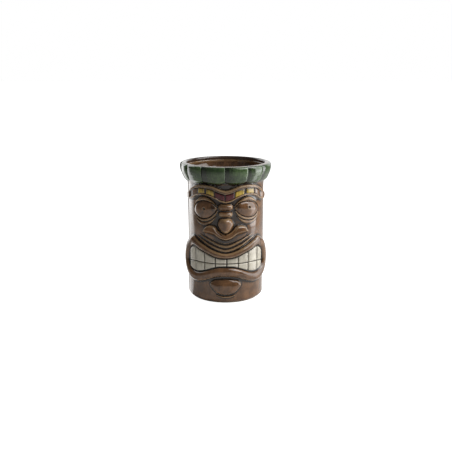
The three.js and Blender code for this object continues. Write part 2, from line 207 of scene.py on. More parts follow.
class Relief:
    def __init__(self):
        self.u = np.arange(-REACH, REACH, CELL)
        self.z = np.arange(0, RELIEF_TOP, CELL)
        self.height = np.zeros((len(self.z), len(self.u)))
        self.covered = np.zeros_like(self.height)
        self.pool_shade_dark = np.zeros_like(self.height)

    def near(self, loop, margin=5):
        """The cells round an outline, and their u and z."""
        low, high = loop.min(axis=0) - margin, loop.max(axis=0) + margin
        rows = slice(*np.searchsorted(self.z, [low[1], high[1]]))
        columns = slice(*np.searchsorted(self.u, [low[0], high[0]]))
        return (rows, columns), *np.meshgrid(self.u[columns], self.z[rows])

    def mound(self, middle, reach):
        """1 at the middle of a broad soft mound on each side of the mask, and 0 far from it."""
        u, z = np.meshgrid(np.abs(self.u), self.z)
        return np.exp(-((u - middle[0]) / reach[0]) ** 2 - ((z - middle[1]) / reach[1]) ** 2)

    def add(self, sprig):
        part, u, z = self.near(sprig.outer)
        depth = depth_inside(sprig.outer, u, z)
        if sprig.inner is None:
            proud = sprig.shape(np.maximum(depth, 0), u, z)
        else:
            past_inner = -depth_inside(sprig.inner, u, z)
            proud = sprig.shape(np.maximum(depth, 0), np.maximum(past_inner, 0))
            depth = np.minimum(depth, past_inner)
        proud = np.where(depth > 0, proud, 2.2 * depth)
        self.height[part] = smooth_max(self.height[part], proud, sprig.blend)
        self.covered[part] = np.maximum(self.covered[part], ramp(depth, 0.15, 0.9))


# --------------------------------------------------------------------------------------------------
# Sprigs: a grid of points over each mass of the mask, and the shape of its surface
# --------------------------------------------------------------------------------------------------

class Sprig:
    """One mass of clay. Its grid runs along it, then across it. A round one's grid runs about it."""

    def __init__(self, node, grid, shape, glaze, blend=1.2, hub=None, ring=False):
        self.node, self.grid, self.shape, self.glaze, self.blend = node, grid, shape, glaze, blend
        self.hub, self.ring = hub, ring
        self.inner = grid[:, 0] if ring else None
        if ring or hub is not None:
            self.outer = grid[:, -1]
        else:
            ends = grid[-1, 1:-1], grid[0, -2:0:-1]
            self.outer = np.vstack([grid[:, 0], ends[0], grid[::-1, -1], ends[1]])


def steps(length):
    return max(int(length / SPACING), 6)


def strip(start, end, lower, upper):
    """A grid between two contours, from one u to another."""
    u = np.linspace(start, end, steps(abs(end - start)))
    low, high = lower(u), upper(u)
    w = np.linspace(0, 1, steps(np.max(high - low)))
    return np.stack(np.broadcast_arrays(u[:, None], lerp(low[:, None], high[:, None], w)), axis=-1)


def ribbon(line, half_width):
    """A grid along a line, as wide as half_width says at each share of its length."""
    share = np.linspace(0, 1, len(line))
    half = half_width(share)[:, None, None]
    w = np.linspace(-1, 1, steps(2 * half.max()))[None, :, None]
    return line[:, None] + normals(line, closed=False)[:, None] * half * w


def pad(outline, hub):
    """A grid of rings from a middle point out to a closed outline."""
    loop = curve(outline, closed=True)
    middle = np.array(hub, float)
    reach = np.linalg.norm(loop - middle, axis=1).max()
    share = (np.arange(1, steps(reach) + 1) / steps(reach))[None, :, None]
    return middle + (loop - middle)[:, None] * share


def ring(inner, outer):
    """A grid of rings between two closed outlines."""
    loop = curve(outer, closed=True)
    within = curve(inner, closed=True, spacing=0.1)
    start = np.linalg.norm(within - loop[0], axis=1).argmin()
    within = np.roll(within, -start, axis=0)
    share = np.linspace(0, len(within), len(loop), endpoint=False).astype(int)
    w = np.linspace(0, 1, 22)[None, :, None]
    return lerp(within[share][:, None], loop[:, None], w)


def rounded(depth, height, shoulder, edge=0.0):
    """A surface that rises steeply from its edge and rounds off at its full height."""
    t = np.clip(depth / shoulder, 0, 1)
    return edge + (height - edge) * np.sqrt(1 - (1 - t) ** 2)


def domed(depth, height, shoulder, edge=0.0):
    """A surface that rises evenly from its edge and rounds off at its full height."""
    return edge + (height - edge) * np.sin(0.5 * math.pi * np.clip(depth / shoulder, 0, 1))


BROW_TOP = contour([
    (0, 120.8), (4, 121.6), (8.5, 123.4), (13.3, 125.2), (18, 126), (24, 126.1),
    (32, 124.9), (39, 121.9), (45, 118), (49.5, 115), (51, 113.2),
])
BROW_BOTTOM = contour([
    (0, 107.7), (6, 109.6), (10, 111.8), (14, 113.5), (18.4, 114.7), (24, 115.2),
    (31, 113.9), (38.8, 109.9), (45, 107.9), (49.5, 108.9), (51, 111),
])
CHANNEL_DEPTH = 1.4
TILE_THICKNESS = 0.85
# The tiles' lower and upper edges, as shares of the band's height.
TILE_BOTTOM = 0.195
TILE_TOP = 0.675


def brow_height(u):
    return 5.2 - 0.045 * np.abs(u)


def brow_band():
    def shape(depth, u, z):
        ridge = rounded(depth, brow_height(u), 1.3)
        w = (z - BROW_BOTTOM(u)) / (BROW_TOP(u) - BROW_BOTTOM(u))
        within = ramp(w, TILE_BOTTOM - 0.07, TILE_BOTTOM) * ramp(w, TILE_TOP + 0.07, TILE_TOP)
        return ridge - CHANNEL_DEPTH * within * ramp(np.abs(u), 44, 40)

    return Sprig("brow_band", strip(-51, 51, BROW_BOTTOM, BROW_TOP), shape, "brown_glaze", blend=1.4)


def node_span(node):
    """The least and greatest u of a CAD node."""
    places = np.array([v.co[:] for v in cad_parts[node].data.vertices])
    angles = np.arctan2(places[:, 0], -places[:, 1])
    return angles.min() * CUP_RADIUS, angles.max() * CUP_RADIUS


def brow_tiles():
    def shape(depth, u, z):
        return brow_height(u) - CHANNEL_DEPTH + rounded(depth, TILE_THICKNESS, 0.9, 0.1)

    def height(w):
        return lambda u: lerp(BROW_BOTTOM(u), BROW_TOP(u), w)

    glazes = {"red": "red_glaze", "gold_inner": "gold_glaze", "gold_outer": "gold_glaze",
              "brown": "brown_glaze"}
    for name, glaze in glazes.items():
        for side in ("left", "right"):
            node = f"brow_tile_{name}_{side}"
            grid = strip(*node_span(node), height(TILE_BOTTOM), height(TILE_TOP))
            yield Sprig(node, grid, shape, glaze, blend=0.25)


# Each eye's pupil and outline, as distances from the middle of the mask. The left eye is the larger.
EYES = {
    "right": dict(sign=1, pupil=(23.4, 102.9), edge=[
        (9.3, 102.2), (11.9, 98.6), (15.6, 95.3), (21, 93), (25.9, 92.4), (31, 93.2), (34.8, 96),
        (36.3, 99.8), (35.2, 103.6), (31.2, 106.9), (25.3, 108.6), (19.5, 108.9), (14.2, 107.8),
        (11.2, 105.3),
    ]),
    "left": dict(sign=-1, pupil=(21.1, 101.4), edge=[
        (8.5, 102.3), (10, 98.6), (13.1, 95.1), (17.4, 92.3), (22.6, 90.8), (27, 91.3), (31.3, 93.4),
        (34.3, 96.9), (34.6, 101), (32.4, 104.9), (27.5, 108), (22, 109.3), (16.4, 108.6),
        (12, 106.2),
    ]),
}


def eye(side, sign, pupil, edge):
    def ball(depth, u, z):
        away = np.hypot(np.abs(u) - pupil[0], z - pupil[1])
        rim = 0.35 * np.exp(-((away - 1.9) / 0.55) ** 2)
        pit = 1.1 * (1 - ramp(away, 0.6, 1.5))
        return rounded(depth, 4.3, 11, 0.9) + rim - pit

    def bead(crest, shoulder):
        return lambda depth, u, z: rounded(depth, crest, shoulder)

    line = curve(edge, closed=True, spacing=0.3)
    outward = normals(line, closed=True)

    def between(start, end, inner, outer):
        """A grid that follows part of the eye's edge, between two distances outside it."""
        share = np.linspace(start, end, 64)
        at = (share * len(line)).astype(int) % len(line)
        bulge = np.sin(math.pi * np.linspace(0, 1, len(at)))[:, None]
        near, far = ([least + (most - least) * bulge ** power for least, most, power in (inner, outer)])
        w = np.linspace(0, 1, steps(far.max() - near.min()))[None, :]
        away = lerp(near, far, w)[..., None]
        return line[at][:, None] + outward[at][:, None] * away

    def made(name, grid, shape, blend, hub=None):
        return Sprig(f"{name}_{side}", grid * (sign, 1), shape, "brown_glaze", blend, hub)

    hub = (pupil[0] * sign, pupil[1])
    upper = between(0.98, 0.52, (0.4, 0.4, 1), (1.3, 4.7, 3))
    lower = between(0.03, 0.47, (0.4, 0.4, 1), (1.1, 3.0, 0.6))
    bag = between(0.11, 0.44, (3.0, 3.6, 0.6), (3.8, 7.3, 1.2))
    yield made("eye", pad(edge, pupil), ball, 0.6, hub)
    yield made("upper_eyelid", upper, bead(3.3, 1.5), 0.8)
    yield made("lower_eyelid", lower, bead(2.7, 1.2), 0.8)
    yield made("eye_bag", bag, bead(2.1, 1.5), 1.1)


NOSE_TIP = [(0, 76.9), (3.7, 78.3), (6.8, 81.2), (8.8, 85), (8.2, 88.8), (5.6, 91.6), (0, 92.5)]
WINGS_TOP = contour([
    (0, 75.4), (3.6, 76.8), (7.3, 79.8), (9.9, 83), (12.7, 84.2), (17.5, 84.1), (21, 82.3), (22.8, 78.4),
])
WINGS_BOTTOM = contour([
    (0, 64.9), (4, 65.6), (9, 67.4), (14, 69.3), (18.5, 71.4), (21.3, 73.4), (22.8, 76),
])


def nose():
    upper = even([(0, 100.2), (4.6, 100.2), (7.2, 102.2), (7.2, 105), (4.4, 106.8), (0, 106.7)])
    lower = even([(0, 93.6), (4.6, 93.6), (6.8, 95.3), (6.6, 97.8), (4.2, 99.2), (0, 99.3)])

    def lump(height, shoulder, edge, flank):
        """A dome with a ridge down the middle of the nose. Its sides slope away by the flank."""
        return lambda depth, u, z: domed(depth, height, shoulder, edge) - flank * (np.hypot(u, 2.5) - 2.5)

    tip = curve(even(NOSE_TIP), closed=True)

    def wings(depth, u, z):
        w = np.clip((z - WINGS_BOTTOM(u)) / np.maximum(WINGS_TOP(u) - WINGS_BOTTOM(u), 0.5), 0, 1)
        crest = np.interp(w, [0, 0.35, 0.5, 0.57, 0.62, 0.85, 1], [0.28, 0.42, 0.74, 0.98, 1, 0.82, 0.6])
        groove = 0.8 * np.exp(-((depth_inside(tip, u, z) + 2.4) / 0.6) ** 2)
        return rounded(depth, 1, 1.2) * crest * (6.4 - 0.05 * np.abs(u)) - groove

    yield Sprig("nose_bridge_upper", pad(upper, (0, 103.5)), lump(4.9, 3.2, 2.6, 0.3), "brown_glaze", 1.4,
                hub=(0, 103.5))
    yield Sprig("nose_bridge_lower", pad(lower, (0, 96.5)), lump(5.7, 2.8, 3.0, 0.3), "brown_glaze", 1.3,
                hub=(0, 96.5))
    yield Sprig("nose_wings", strip(-22.8, 22.8, WINGS_BOTTOM, WINGS_TOP), wings, "brown_glaze", 1.0)
    yield Sprig("nose_tip", pad(even(NOSE_TIP), (0, 84.5)), lump(8, 3.4, 4.4, 0.8), "brown_glaze", 0.7,
                hub=(0, 84.5))


FOLDS = {
    "lip_fold_upper": [(0, 62.2), (6.3, 63.7), (12.3, 66.4), (18.7, 69.4), (26, 72.5), (29, 73.6)],
    "lip_fold_lower": [(0, 57.8), (6.3, 59.1), (12.3, 61.5), (18.7, 64.5), (26.5, 68.7), (32.5, 71.3)],
}
LIPS_OUTER = [
    (0, 30.1), (9, 29.4), (16, 27), (24, 23.8), (32, 21.9), (40, 22.8), (47.5, 27.5), (53, 35.5),
    (55, 44.8), (53.4, 54.6), (49, 62.7), (43, 68.2), (36.3, 71), (30, 67.6), (20, 62.4),
    (10, 57.9), (0, 55.6),
]
LIPS_INNER = [
    (0, 40.7), (8, 40.2), (15, 38), (22, 35.2), (29, 33.3), (35.5, 33.3), (41, 35.2), (45, 38.9),
    (46.8, 43.6), (45.6, 49.4), (43.2, 54), (39.8, 58.3), (34.5, 60.3), (27.6, 57.9), (18, 54.3),
    (9.5, 50.9), (0, 49.9),
]
TEETH_BOTTOM = contour(LIPS_INNER[:9])
TEETH_TOP = contour(LIPS_INNER[:7:-1])
BITE = contour([(0, 44.3), (19, 44.2), (30, 44.2), (38, 43.6), (46.8, 42.8)])
GUM_PROUD = 1.3
TOOTH_PROUD = 3.1


def lip_folds():
    for node, points in FOLDS.items():
        line = curve([(-u, z) for u, z in points[:0:-1]] + points)

        def bead(depth, u, z):
            return rounded(depth, 2.4, 1.4) * (1 - 0.35 * (u / 31) ** 2)

        def width(share):
            return 1.5 - 0.9 * (2 * share - 1) ** 2

        yield Sprig(node, ribbon(line, width), bead, "brown_glaze", blend=0.9)


def mouth():
    def gum(depth, u, z):
        return np.full_like(depth, GUM_PROUD)

    def lips(depth, past_inner):
        w = depth / np.maximum(depth + past_inner, 0.1)
        return 5.1 * (1 - np.abs(2 * w - 1) ** 2.3) ** 0.55

    def below_teeth(u):
        return TEETH_BOTTOM(u) - 0.6

    def above_teeth(u):
        return TEETH_TOP(u) + 0.6

    yield Sprig("gum_plate", strip(-46.9, 46.9, below_teeth, above_teeth), gum, "dark_glaze", blend=0.4)
    yield Sprig("lips", ring(even(LIPS_INNER), even(LIPS_OUTER)), lips, "brown_glaze", blend=1.2,
                ring=True)


def teeth():
    def tooth(depth, u, z):
        return rounded(depth, TOOTH_PROUD, 1.5, 2.1)

    rows = {
        "upper": (lambda u: BITE(u) + 0.4, lambda u: TEETH_TOP(u) - 0.9),
        "lower": (lambda u: TEETH_BOTTOM(u) + 0.9, lambda u: BITE(u) - 0.4),
    }
    for row, (lower, upper) in rows.items():
        for number in range(1, 9):
            node = f"tooth_{row}_{number}"
            yield Sprig(node, strip(*node_span(node), lower, upper), tooth, "ivory_glaze", blend=0.3)


def chin():
    def boss(depth, u, z):
        return rounded(depth, 4.7, 9.5, 0.5)

    def bead(depth, u, z):
        return rounded(depth, 1.3, 0.8)

    edge = even([(0, 10.4), (5, 11.1), (9.8, 13.2), (14, 17), (16.2, 21.2), (13.6, 25), (8, 26.9),
                 (0, 27.4)])
    crease = curve([(-9.8, 9.7), (-5, 8.1), (0, 7.6), (5, 8.1), (9.8, 9.7)])
    yield Sprig("chin", pad(edge, (0, 19.5)), boss, "brown_glaze", blend=1.6, hub=(0, 19.5))
    yield Sprig("chin_crease", ribbon(crease, lambda share: 0.9 - 0.5 * (2 * share - 1) ** 2), bead,
                "brown_glaze", blend=1.0)


# Soft rises of the wall under the mask: the cheeks, the mouth and the ridge of the nose. Each has the
# |u| and z of its middle, how far it reaches in each of them, and its height.
RISES = [
    ((31, 79), (12, 9), 1.1),
    ((0, 44), (46, 26), 0.5),
    ((0, 99), (5.6, 8), 3.2),
]
# Dark patches on the mask, partly glaze that gathers there and partly painted shade: under the collar (a
# painted shadow), in the eyes' corners, under the nose and the lip. Each has its middle and its reach, and
# how dark it is from 0 to 1.
POOLS_AND_SHADE = [
    ((0, 123), (34, 4.5), 0.75),
    ((12, 103), (4.5, 5), 0.6),
    ((11, 91), (4, 4), 0.5),
    ((6, 67), (13, 4), 0.6),
    ((0, 62), (24, 8), 0.55),
    ((0, 30), (20, 3), 0.5),
]


def mask_relief():
    """The relief's sprigs, the ground they make, and the whole surface with tiles and teeth on it."""
    relief = Relief()
    for middle, reach, height in RISES:
        relief.height += height * relief.mound(middle, reach)
    # Painted shade, together with pooled glaze, laid over the mask's darkening.
    for middle, reach, amount in POOLS_AND_SHADE:
        relief.pool_shade_dark += amount * relief.mound(middle, reach)
    eyes = [part for side, shape in EYES.items() for part in eye(side, **shape)]
    sprigs = [*nose(), *chin(), *lip_folds(), *mouth(), *eyes, brow_band()]
    for sprig in sprigs:
        relief.add(sprig)
    ground = relief.height.copy()
    trim = [*brow_tiles(), *teeth()]
    for sprig in trim:
        relief.add(sprig)
    return relief, ground, sprigs, trim


# --------------------------------------------------------------------------------------------------
# Meshes
# --------------------------------------------------------------------------------------------------

def grid_faces(index):
    """Quads between the rows and columns of a grid of vertex numbers."""
    corners = index[:-1, :-1], index[1:, :-1], index[1:, 1:], index[:-1, 1:]
    return np.stack(corners, axis=-1).reshape(-1, 4).tolist()


def make_piece(name, points, shades, glaze, round_along, poles=None):
    """A closed mesh from a grid of points: along, then across a section that closes on itself.

    With poles, the section is open and each of its ends runs to one of the two poles instead.
    shades gives each point's darkening for pooled glaze and painted shade, and its crest, from 0 to 1.
    """
    long, wide = points.shape[:2]
    index = np.arange(long * wide).reshape(long, wide)
    looped = np.vstack([index, index[:1]]) if round_along else index
    places = points.reshape(-1, 3)
    shades = shades.reshape(-1, 2)
    if poles is None:
        faces = grid_faces(np.hstack([looped, looped[:, :1]]))
        if not round_along:
            faces += [index[0].tolist(), index[-1, ::-1].tolist()]
    else:
        faces = grid_faces(looped)
        for column, pole in ((0, len(places)), (-1, len(places) + 1)):
            edge = looped[:, column].tolist()
            faces += [[a, b, pole] for a, b in zip(edge, edge[1:])]
        ends = [index[:, 0], index[:, -1]]
        shades = np.vstack([shades, *[shades[end].mean(axis=0) for end in ends]])
        places = np.vstack([places, *poles])

    mesh = bpy.data.meshes.new(name)
    mesh.from_pydata((places * MM).tolist(), [], faces)
    shell = bmesh.new()
    shell.from_mesh(mesh)
    bmesh.ops.recalc_face_normals(shell, faces=shell.faces)
    shell.to_mesh(mesh)
    shell.free()
    for label, values in zip(("pool_shade_amount", "crest"), shades.T):
        mesh.attributes.new(label, "FLOAT", "POINT").data.foreach_set("value", values.copy())
    mesh.shade_smooth()
    mesh.materials.append(material(glaze))

    piece = bpy.data.objects.new(name, mesh)
    bpy.context.scene.collection.objects.link(piece)
    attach(piece, "root")
    return piece


def wall_radius(z):
    return np.interp(z, WALL[:, 1], WALL[:, 0])


def on_wall(u, z, proud):
    """Points on the cup, with the slight unevenness of a cast and fired wall."""
    angle = u / CUP_RADIUS
    uneven = 0.09 * np.sin(3 * angle + z / 21) + 0.05 * np.sin(7 * angle - z / 13 + 2)
    radius = wall_radius(z) + proud + uneven * ramp(HEIGHT - z, 8, 30)
    return np.stack([radius * np.sin(angle), -radius * np.cos(angle), z * np.ones_like(radius)], axis=-1)


def pushed_out(edge, next_in):
    step = edge - next_in
    return edge + HEM * step / np.maximum(np.linalg.norm(step, axis=-1, keepdims=True), 1e-6)


def make_sprig(sprig, surface, shading, root):
    """A sprig's mesh, from the relief's surface down to its root in the wall."""
    grid = sprig.grid
    round_along = sprig.ring or sprig.hub is not None
    first = [] if sprig.hub is not None else [pushed_out(grid[:, :1], grid[:, 1:2])]
    grid = np.concatenate([*first, grid, pushed_out(grid[:, -1:], grid[:, -2:-1])], axis=1)
    if not round_along:
        ends = pushed_out(grid[:1], grid[1:2]), pushed_out(grid[-1:], grid[-2:-1])
        grid = np.concatenate([ends[0], grid, ends[1]])
    tuck = np.zeros(grid.shape[:2])
    tuck[:, -1] = 1
    if sprig.hub is None:
        tuck[:, 0] = 1
    if not round_along:
        tuck[[0, -1]] = 1
    u, z = grid[..., 0], grid[..., 1]
    top = on_wall(u, z, sampled(surface, u, z) + LIFT - (HEM_DEPTH + LIFT) * tuck)
    columns = [-1] if sprig.hub is not None else [-1, len(grid[0]) // 2, 0]
    base = on_wall(u[:, columns], z[:, columns], root)
    shades = np.stack([sampled(field, u, z) for field in shading], axis=-1)
    points = np.concatenate([top, base], axis=1)
    shades = np.concatenate([shades, shades[:, columns]], axis=1)
    poles = None
    if sprig.hub is not None:
        hub = np.array([sprig.hub[0]]), np.array([sprig.hub[1]])
        poles = [on_wall(*hub, sampled(surface, *hub) + LIFT), on_wall(*hub, root)]
    piece = make_piece(f"{sprig.node}_clay", points, shades, sprig.glaze, round_along, poles)
    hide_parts(sprig.node)


NARROW_HOLLOW = 0.7  # the radius, in millimetres, of the grooves that glaze gathers in; these and broader recesses are also darkened as painted shade
BROAD_HOLLOW = 2.2


def make_mask(relief, ground, sprigs, trim):
    """Makes each sprig, and gives back, over u and z, how dark the mask is for pooled glaze and painted
    shade, and how crested it is.
    """
    surface = relief.height
    fine, broad = blurred(surface, NARROW_HOLLOW), blurred(surface, BROAD_HOLLOW)
    # Grooves and recesses darken: partly glaze that gathers there, partly painted shade.
    pool_shade_amount = np.clip((fine - surface) / 0.25 + (broad - surface) / 1.2, 0, 1)
    crest = np.clip((surface - fine) / 0.3 - 0.15, 0, 1)
    shading = np.minimum(blurred(pool_shade_amount, 0.3) + relief.pool_shade_dark, 1), blurred(crest, 0.25)
    for layer, field, root in ((sprigs, ground, -ROOT_DEPTH), (trim, surface, GUM_PROUD - 0.8)):
        for sprig in layer:
            make_sprig(sprig, field, shading, root)
    return shading


# --------------------------------------------------------------------------------------------------
# Cup, foot, rim and leaves
# --------------------------------------------------------------------------------------------------

def arc(centre, radius, start, end, count):
    """Points on an arc, in [radius, z], with its angles in degrees."""
    angle = np.radians(np.linspace(start, end, count))
    return np.stack([centre[0] + radius * np.cos(angle), centre[1] + radius * np.sin(angle)], axis=1)


INSIDE_SHADE = 0.4  # painted shade: the inside of the cup is darkened, as it lies in shade
BORE_CREST = 0.6  # the glaze thins where the bore meets the rim
# painted shadow: the wall under the collar of leaves is darkened as if the leaves shade it
SHADE_UNDER_COLLAR = 0.8
CUP_SPACING = 0.55  # between the vertices of the wall behind the mask


def make_cup(relief, ground, shading):
    fine = np.arange(-60, 60, CUP_SPACING) / CUP_RADIUS
    coarse = np.linspace(fine[-1], fine[0] + 2 * math.pi, 56)[1:-1]
    angle = np.concatenate([fine, coarse])[:, None]
    u = angle * CUP_RADIUS
    u = np.where(u > math.pi * CUP_RADIUS, u - 2 * math.pi * CUP_RADIUS, u)

    heel_top = UNDERSIDE + HEEL_ROUNDING
    z = np.concatenate([np.arange(heel_top, 122, CUP_SPACING), np.arange(122, 141.3, 1.1)])[None, :]
    bare = ground - relief.covered * (ground + 0.4)
    wall = on_wall(u, z, sampled(bare, u, z) * (np.abs(u) < REACH - 1))
    shades = np.stack([sampled(field, u, z) * (np.abs(u) < REACH - 1) for field in shading], axis=-1)

    heel = arc((CUP_RADIUS - HEEL_ROUNDING, heel_top), HEEL_ROUNDING, -90, -6, 10)
    under = np.stack([np.array([8, 20, 30, 34, 36]), np.full(5, UNDERSIDE)], axis=1)
    corner = arc((BORE_RADIUS - 4, FLOOR_TOP + 4), 4, 0, -90, 9)
    bore = curve([(41.3, 141.2), (41.4, 138.5), (40.7, 135), (39.2, 131), (37.3, 126.5),
                  (BORE_RADIUS, 121)], spacing=1)
    shaft = np.stack([np.full(12, BORE_RADIUS), np.linspace(112, FLOOR_TOP + 10, 12)], axis=1)
    floor = np.stack([np.array([26, 18, 9]), np.full(3, FLOOR_TOP)], axis=1)

    def turned(profile):
        radius, height = np.broadcast_arrays(profile[None, :, 0], profile[None, :, 1])
        sine, cosine = np.sin(angle), np.cos(angle)
        return np.stack([radius * sine, -radius * cosine, height * np.ones_like(sine)], axis=-1)

    outside = turned(np.vstack([under, heel]))
    inside = turned(np.vstack([bore, shaft, corner, floor]))
    points = np.concatenate([outside, wall, inside], axis=1)
    outside_shades = np.zeros((*outside.shape[:2], 2))
    inside_shades = np.zeros((*inside.shape[:2], 2))
    inside_shades[..., 0] = INSIDE_SHADE
    inside_shades[:, :3, 1] = BORE_CREST
    # Painted shadow under the collar.
    behind_leaves = ramp(z, 124, 128) * np.ones_like(u)
    shades[..., 0] = np.maximum(shades[..., 0], SHADE_UNDER_COLLAR * behind_leaves)
    shades = np.concatenate([outside_shades, shades, inside_shades], axis=1)
    poles = [np.array([[0, 0, UNDERSIDE]]), np.array([[0, 0, FLOOR_TOP]])]
    piece = make_piece("cup_clay", points, shades, "brown_glaze", True, poles)
    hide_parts("cup_body")


def make_turned(name, node, section, glaze, crest, columns=288):
    """A ring about the cup's axis with this section. crest gives each section point's crest."""
    angle = np.linspace(0, 2 * math.pi, columns, endpoint=False)[:, None]
    radius, z = np.broadcast_arrays(section[None, :, 0], section[None, :, 1] + 0 * angle)
    points = np.stack([radius * np.sin(angle), -radius * np.cos(angle), z], axis=-1)
    shades = np.zeros((*points.shape[:2], 2))
    shades[..., 1] = crest
    piece = make_piece(name, points, shades, glaze, True)
    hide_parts(node)


def make_foot():
    flat = FOOT_HEIGHT + 0.6
    section = np.array([
        (FOOT_INNER, flat), (FOOT_INNER, 0.5), (FOOT_INNER + 0.15, 0.15), (FOOT_INNER + 0.5, 0),
        (FOOT_OUTER - 0.5, 0), (FOOT_OUTER - 0.15, 0.15), (FOOT_OUTER, 0.5), (FOOT_OUTER, flat),
    ])
    make_turned("foot_clay", "foot_ring", section, "bare_clay", 0)


def leaf_span(node):
    """A leaf's first and last angle, from its CAD node. A leaf may lie across the back of the cup."""
    places = np.array([v.co[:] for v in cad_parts[node].data.vertices])
    angles = np.arctan2(places[:, 0], -places[:, 1])
    middle = math.atan2(places[:, 0].mean(), -places[:, 1].mean())
    away = (angles - middle + math.pi) % (2 * math.pi) - math.pi
    return middle + away.min(), middle + away.max()


LEAVES = sorted(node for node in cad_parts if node.startswith("leaf_"))
LEAF_SPANS = {node: leaf_span(node) for node in LEAVES}
LEAF_OVERLAP = 0.004  # radians that a leaf runs on under its neighbours
TUCK = 0.42  # the share of a leaf's thickness lost at its left side, under its neighbour
EDGE_DROP = 0.12  # the share lost where its right edge rounds off
TIP_RISE = 2.0  # how much higher a leaf's tip is at its sides
# A leaf's face at its middle, as [how proud it is of the wall, z], from under its tip to the rim.
LEAF_FACE = [
    (-0.4, 127.6), (0.5, 126.5), (1.6, 126.4), (2.3, 127.6), (2.6, 129.2), (2.85, 131.9),
    (3.65, 135.2), (4.2, 138.4), (4.45, 140.4), (4.3, 142.2), (3.6, 143.7), (2.2, 144.6),
    (0.9, 144.6), (0.2, 144.0),
]


def make_leaves():
    face = curve(LEAF_FACE)
    back = curve([(-1.6, 143), (-2.0, 138), (-1.8, 132), (-1.2, 128.5)], spacing=2)
    section = np.vstack([face, back])
    proud, z = section[None, :, 0], section[None, :, 1]
    rng = np.random.default_rng(7)
    for node, (start, end) in LEAF_SPANS.items():
        across = np.linspace(0, 1, 64)[:, None]
        lean, plump, lift = rng.uniform(-1, 1, 3)
        sideways = np.abs(2 * across - 1) ** 3
        share = ((HEIGHT - z) / (HEIGHT - 126.4)).clip(0, 1)
        height = z + (TIP_RISE * sideways + 0.4 * lift * (1 - sideways) + 0.5) * share ** 1.5
        thickness = 1 - TUCK * (1 - across) ** 2 - EDGE_DROP * across ** 12 - 0.04 * (1 + plump) * share
        outer = np.where(proud > 0, proud * thickness, proud)
        radius = wall_radius(height) + outer
        angle = lerp(start - LEAF_OVERLAP, end + LEAF_OVERLAP, across)
        angle = angle + 0.012 * lean * share * np.sin(math.pi * across)
        points = np.stack(np.broadcast_arrays(radius * np.sin(angle), -radius * np.cos(angle), height),
                          axis=-1)
        # Painted shade: the left side darkens in the shade of the neighbour's step, and the underside by the
        # tip as if in shadow. The top edge and the right edge are paler, partly where the glaze thins and
        # partly as a painted highlight.
        shade_by_neighbour = 0.85 * (1 - across) ** 1.6 * np.ones_like(radius)
        shade_under_tip = ramp(proud, 1.9, 0.4) * ramp(z, 130, 127)
        edge = 0.3 * ramp(z, 143.6, 144.5)
        lip = 0.25 * ramp(across, 0.92, 0.97) * ramp(z, 127.5, 131)
        shades = np.stack([np.maximum(shade_by_neighbour, shade_under_tip), np.maximum(edge, lip)], axis=-1)
        piece = make_piece(f"{node}_clay", points, shades, "green_glaze", round_along=False)
        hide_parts(node)


def make_rim():
    section = curve([
        (41.35, 141.3), (41.3, 142.6), (41.45, 143.9), (42.0, 144.75), (42.7, 145.0), (43.6, 144.95),
        (44.5, 144.6), (44.9, 144.0), (44.3, 142.6), (43.2, 141.4), (42.2, 141.0),
    ], closed=True)
    section[:, 1] = np.minimum(section[:, 1], HEIGHT)
    # The rim's pale top: partly glaze thinning over it, partly a painted reflection.
    crest = ramp(section[:, 0], 43.0, 43.9) * ramp(section[:, 1], 143, 144.2)
    make_turned("rim_clay", "rim_lip", section, "rim_glaze", crest, columns=480)


# --------------------------------------------------------------------------------------------------
# Glazes
# --------------------------------------------------------------------------------------------------

def rgb(code):
    """A colour in hex as linear RGBA."""
    parts = [int(code[i : i + 2], 16) / 255 for i in (0, 2, 4)]
    return [c / 12.92 if c <= 0.04045 else ((c + 0.055) / 1.055) ** 2.4 for c in parts] + [1]


class Tree:
    """A material's node tree, with short ways to add the nodes that a glaze needs."""

    def __init__(self, tree):
        self.tree = tree
        self.place = self.node("ShaderNodeTexCoord").outputs["Object"]

    def node(self, kind, inputs=(), **settings):
        made = self.tree.nodes.new(kind)
        for name, value in settings.items():
            setattr(made, name, value)
        for name, value in dict(inputs).items():
            socket = made.inputs[name]
            if isinstance(value, bpy.types.NodeSocket):
                self.tree.links.new(value, socket)
            else:
                socket.default_value = value
        return made

    def attribute(self, name):
        return self.node("ShaderNodeAttribute", attribute_name=name).outputs["Fac"]

    def noise(self, size_mm, detail=3, stretch=(1, 1, 1), seed=0):
        """Noise with features of about this size, longer along an axis where stretch is more."""
        scale = [1 / (size_mm * MM * s) for s in stretch]
        mapping = self.node("ShaderNodeMapping", {"Vector": self.place, "Scale": scale,
                                                  "Location": (seed, 2 * seed, 3 * seed)})
        return self.node("ShaderNodeTexNoise", {"Vector": mapping.outputs["Vector"], "Scale": 1,
                                                "Detail": detail}).outputs["Fac"]

    def math(self, operation, a, b):
        return self.node("ShaderNodeMath", {0: a, 1: b}, operation=operation).outputs[0]

    def spread(self, value, start, end, low=0.0, high=1.0):
        return self.node("ShaderNodeMapRange", {"Value": value, "From Min": start, "From Max": end,
                                                "To Min": low, "To Max": high},
                         interpolation_type="SMOOTHSTEP").outputs["Result"]

    def mix(self, share, a, b):
        made = self.node("ShaderNodeMix", data_type="RGBA")
        for socket, value in zip((made.inputs[0], made.inputs[6], made.inputs[7]), (share, a, b)):
            if isinstance(value, bpy.types.NodeSocket):
                self.tree.links.new(value, socket)
            else:
                socket.default_value = value
        return made.outputs[2]


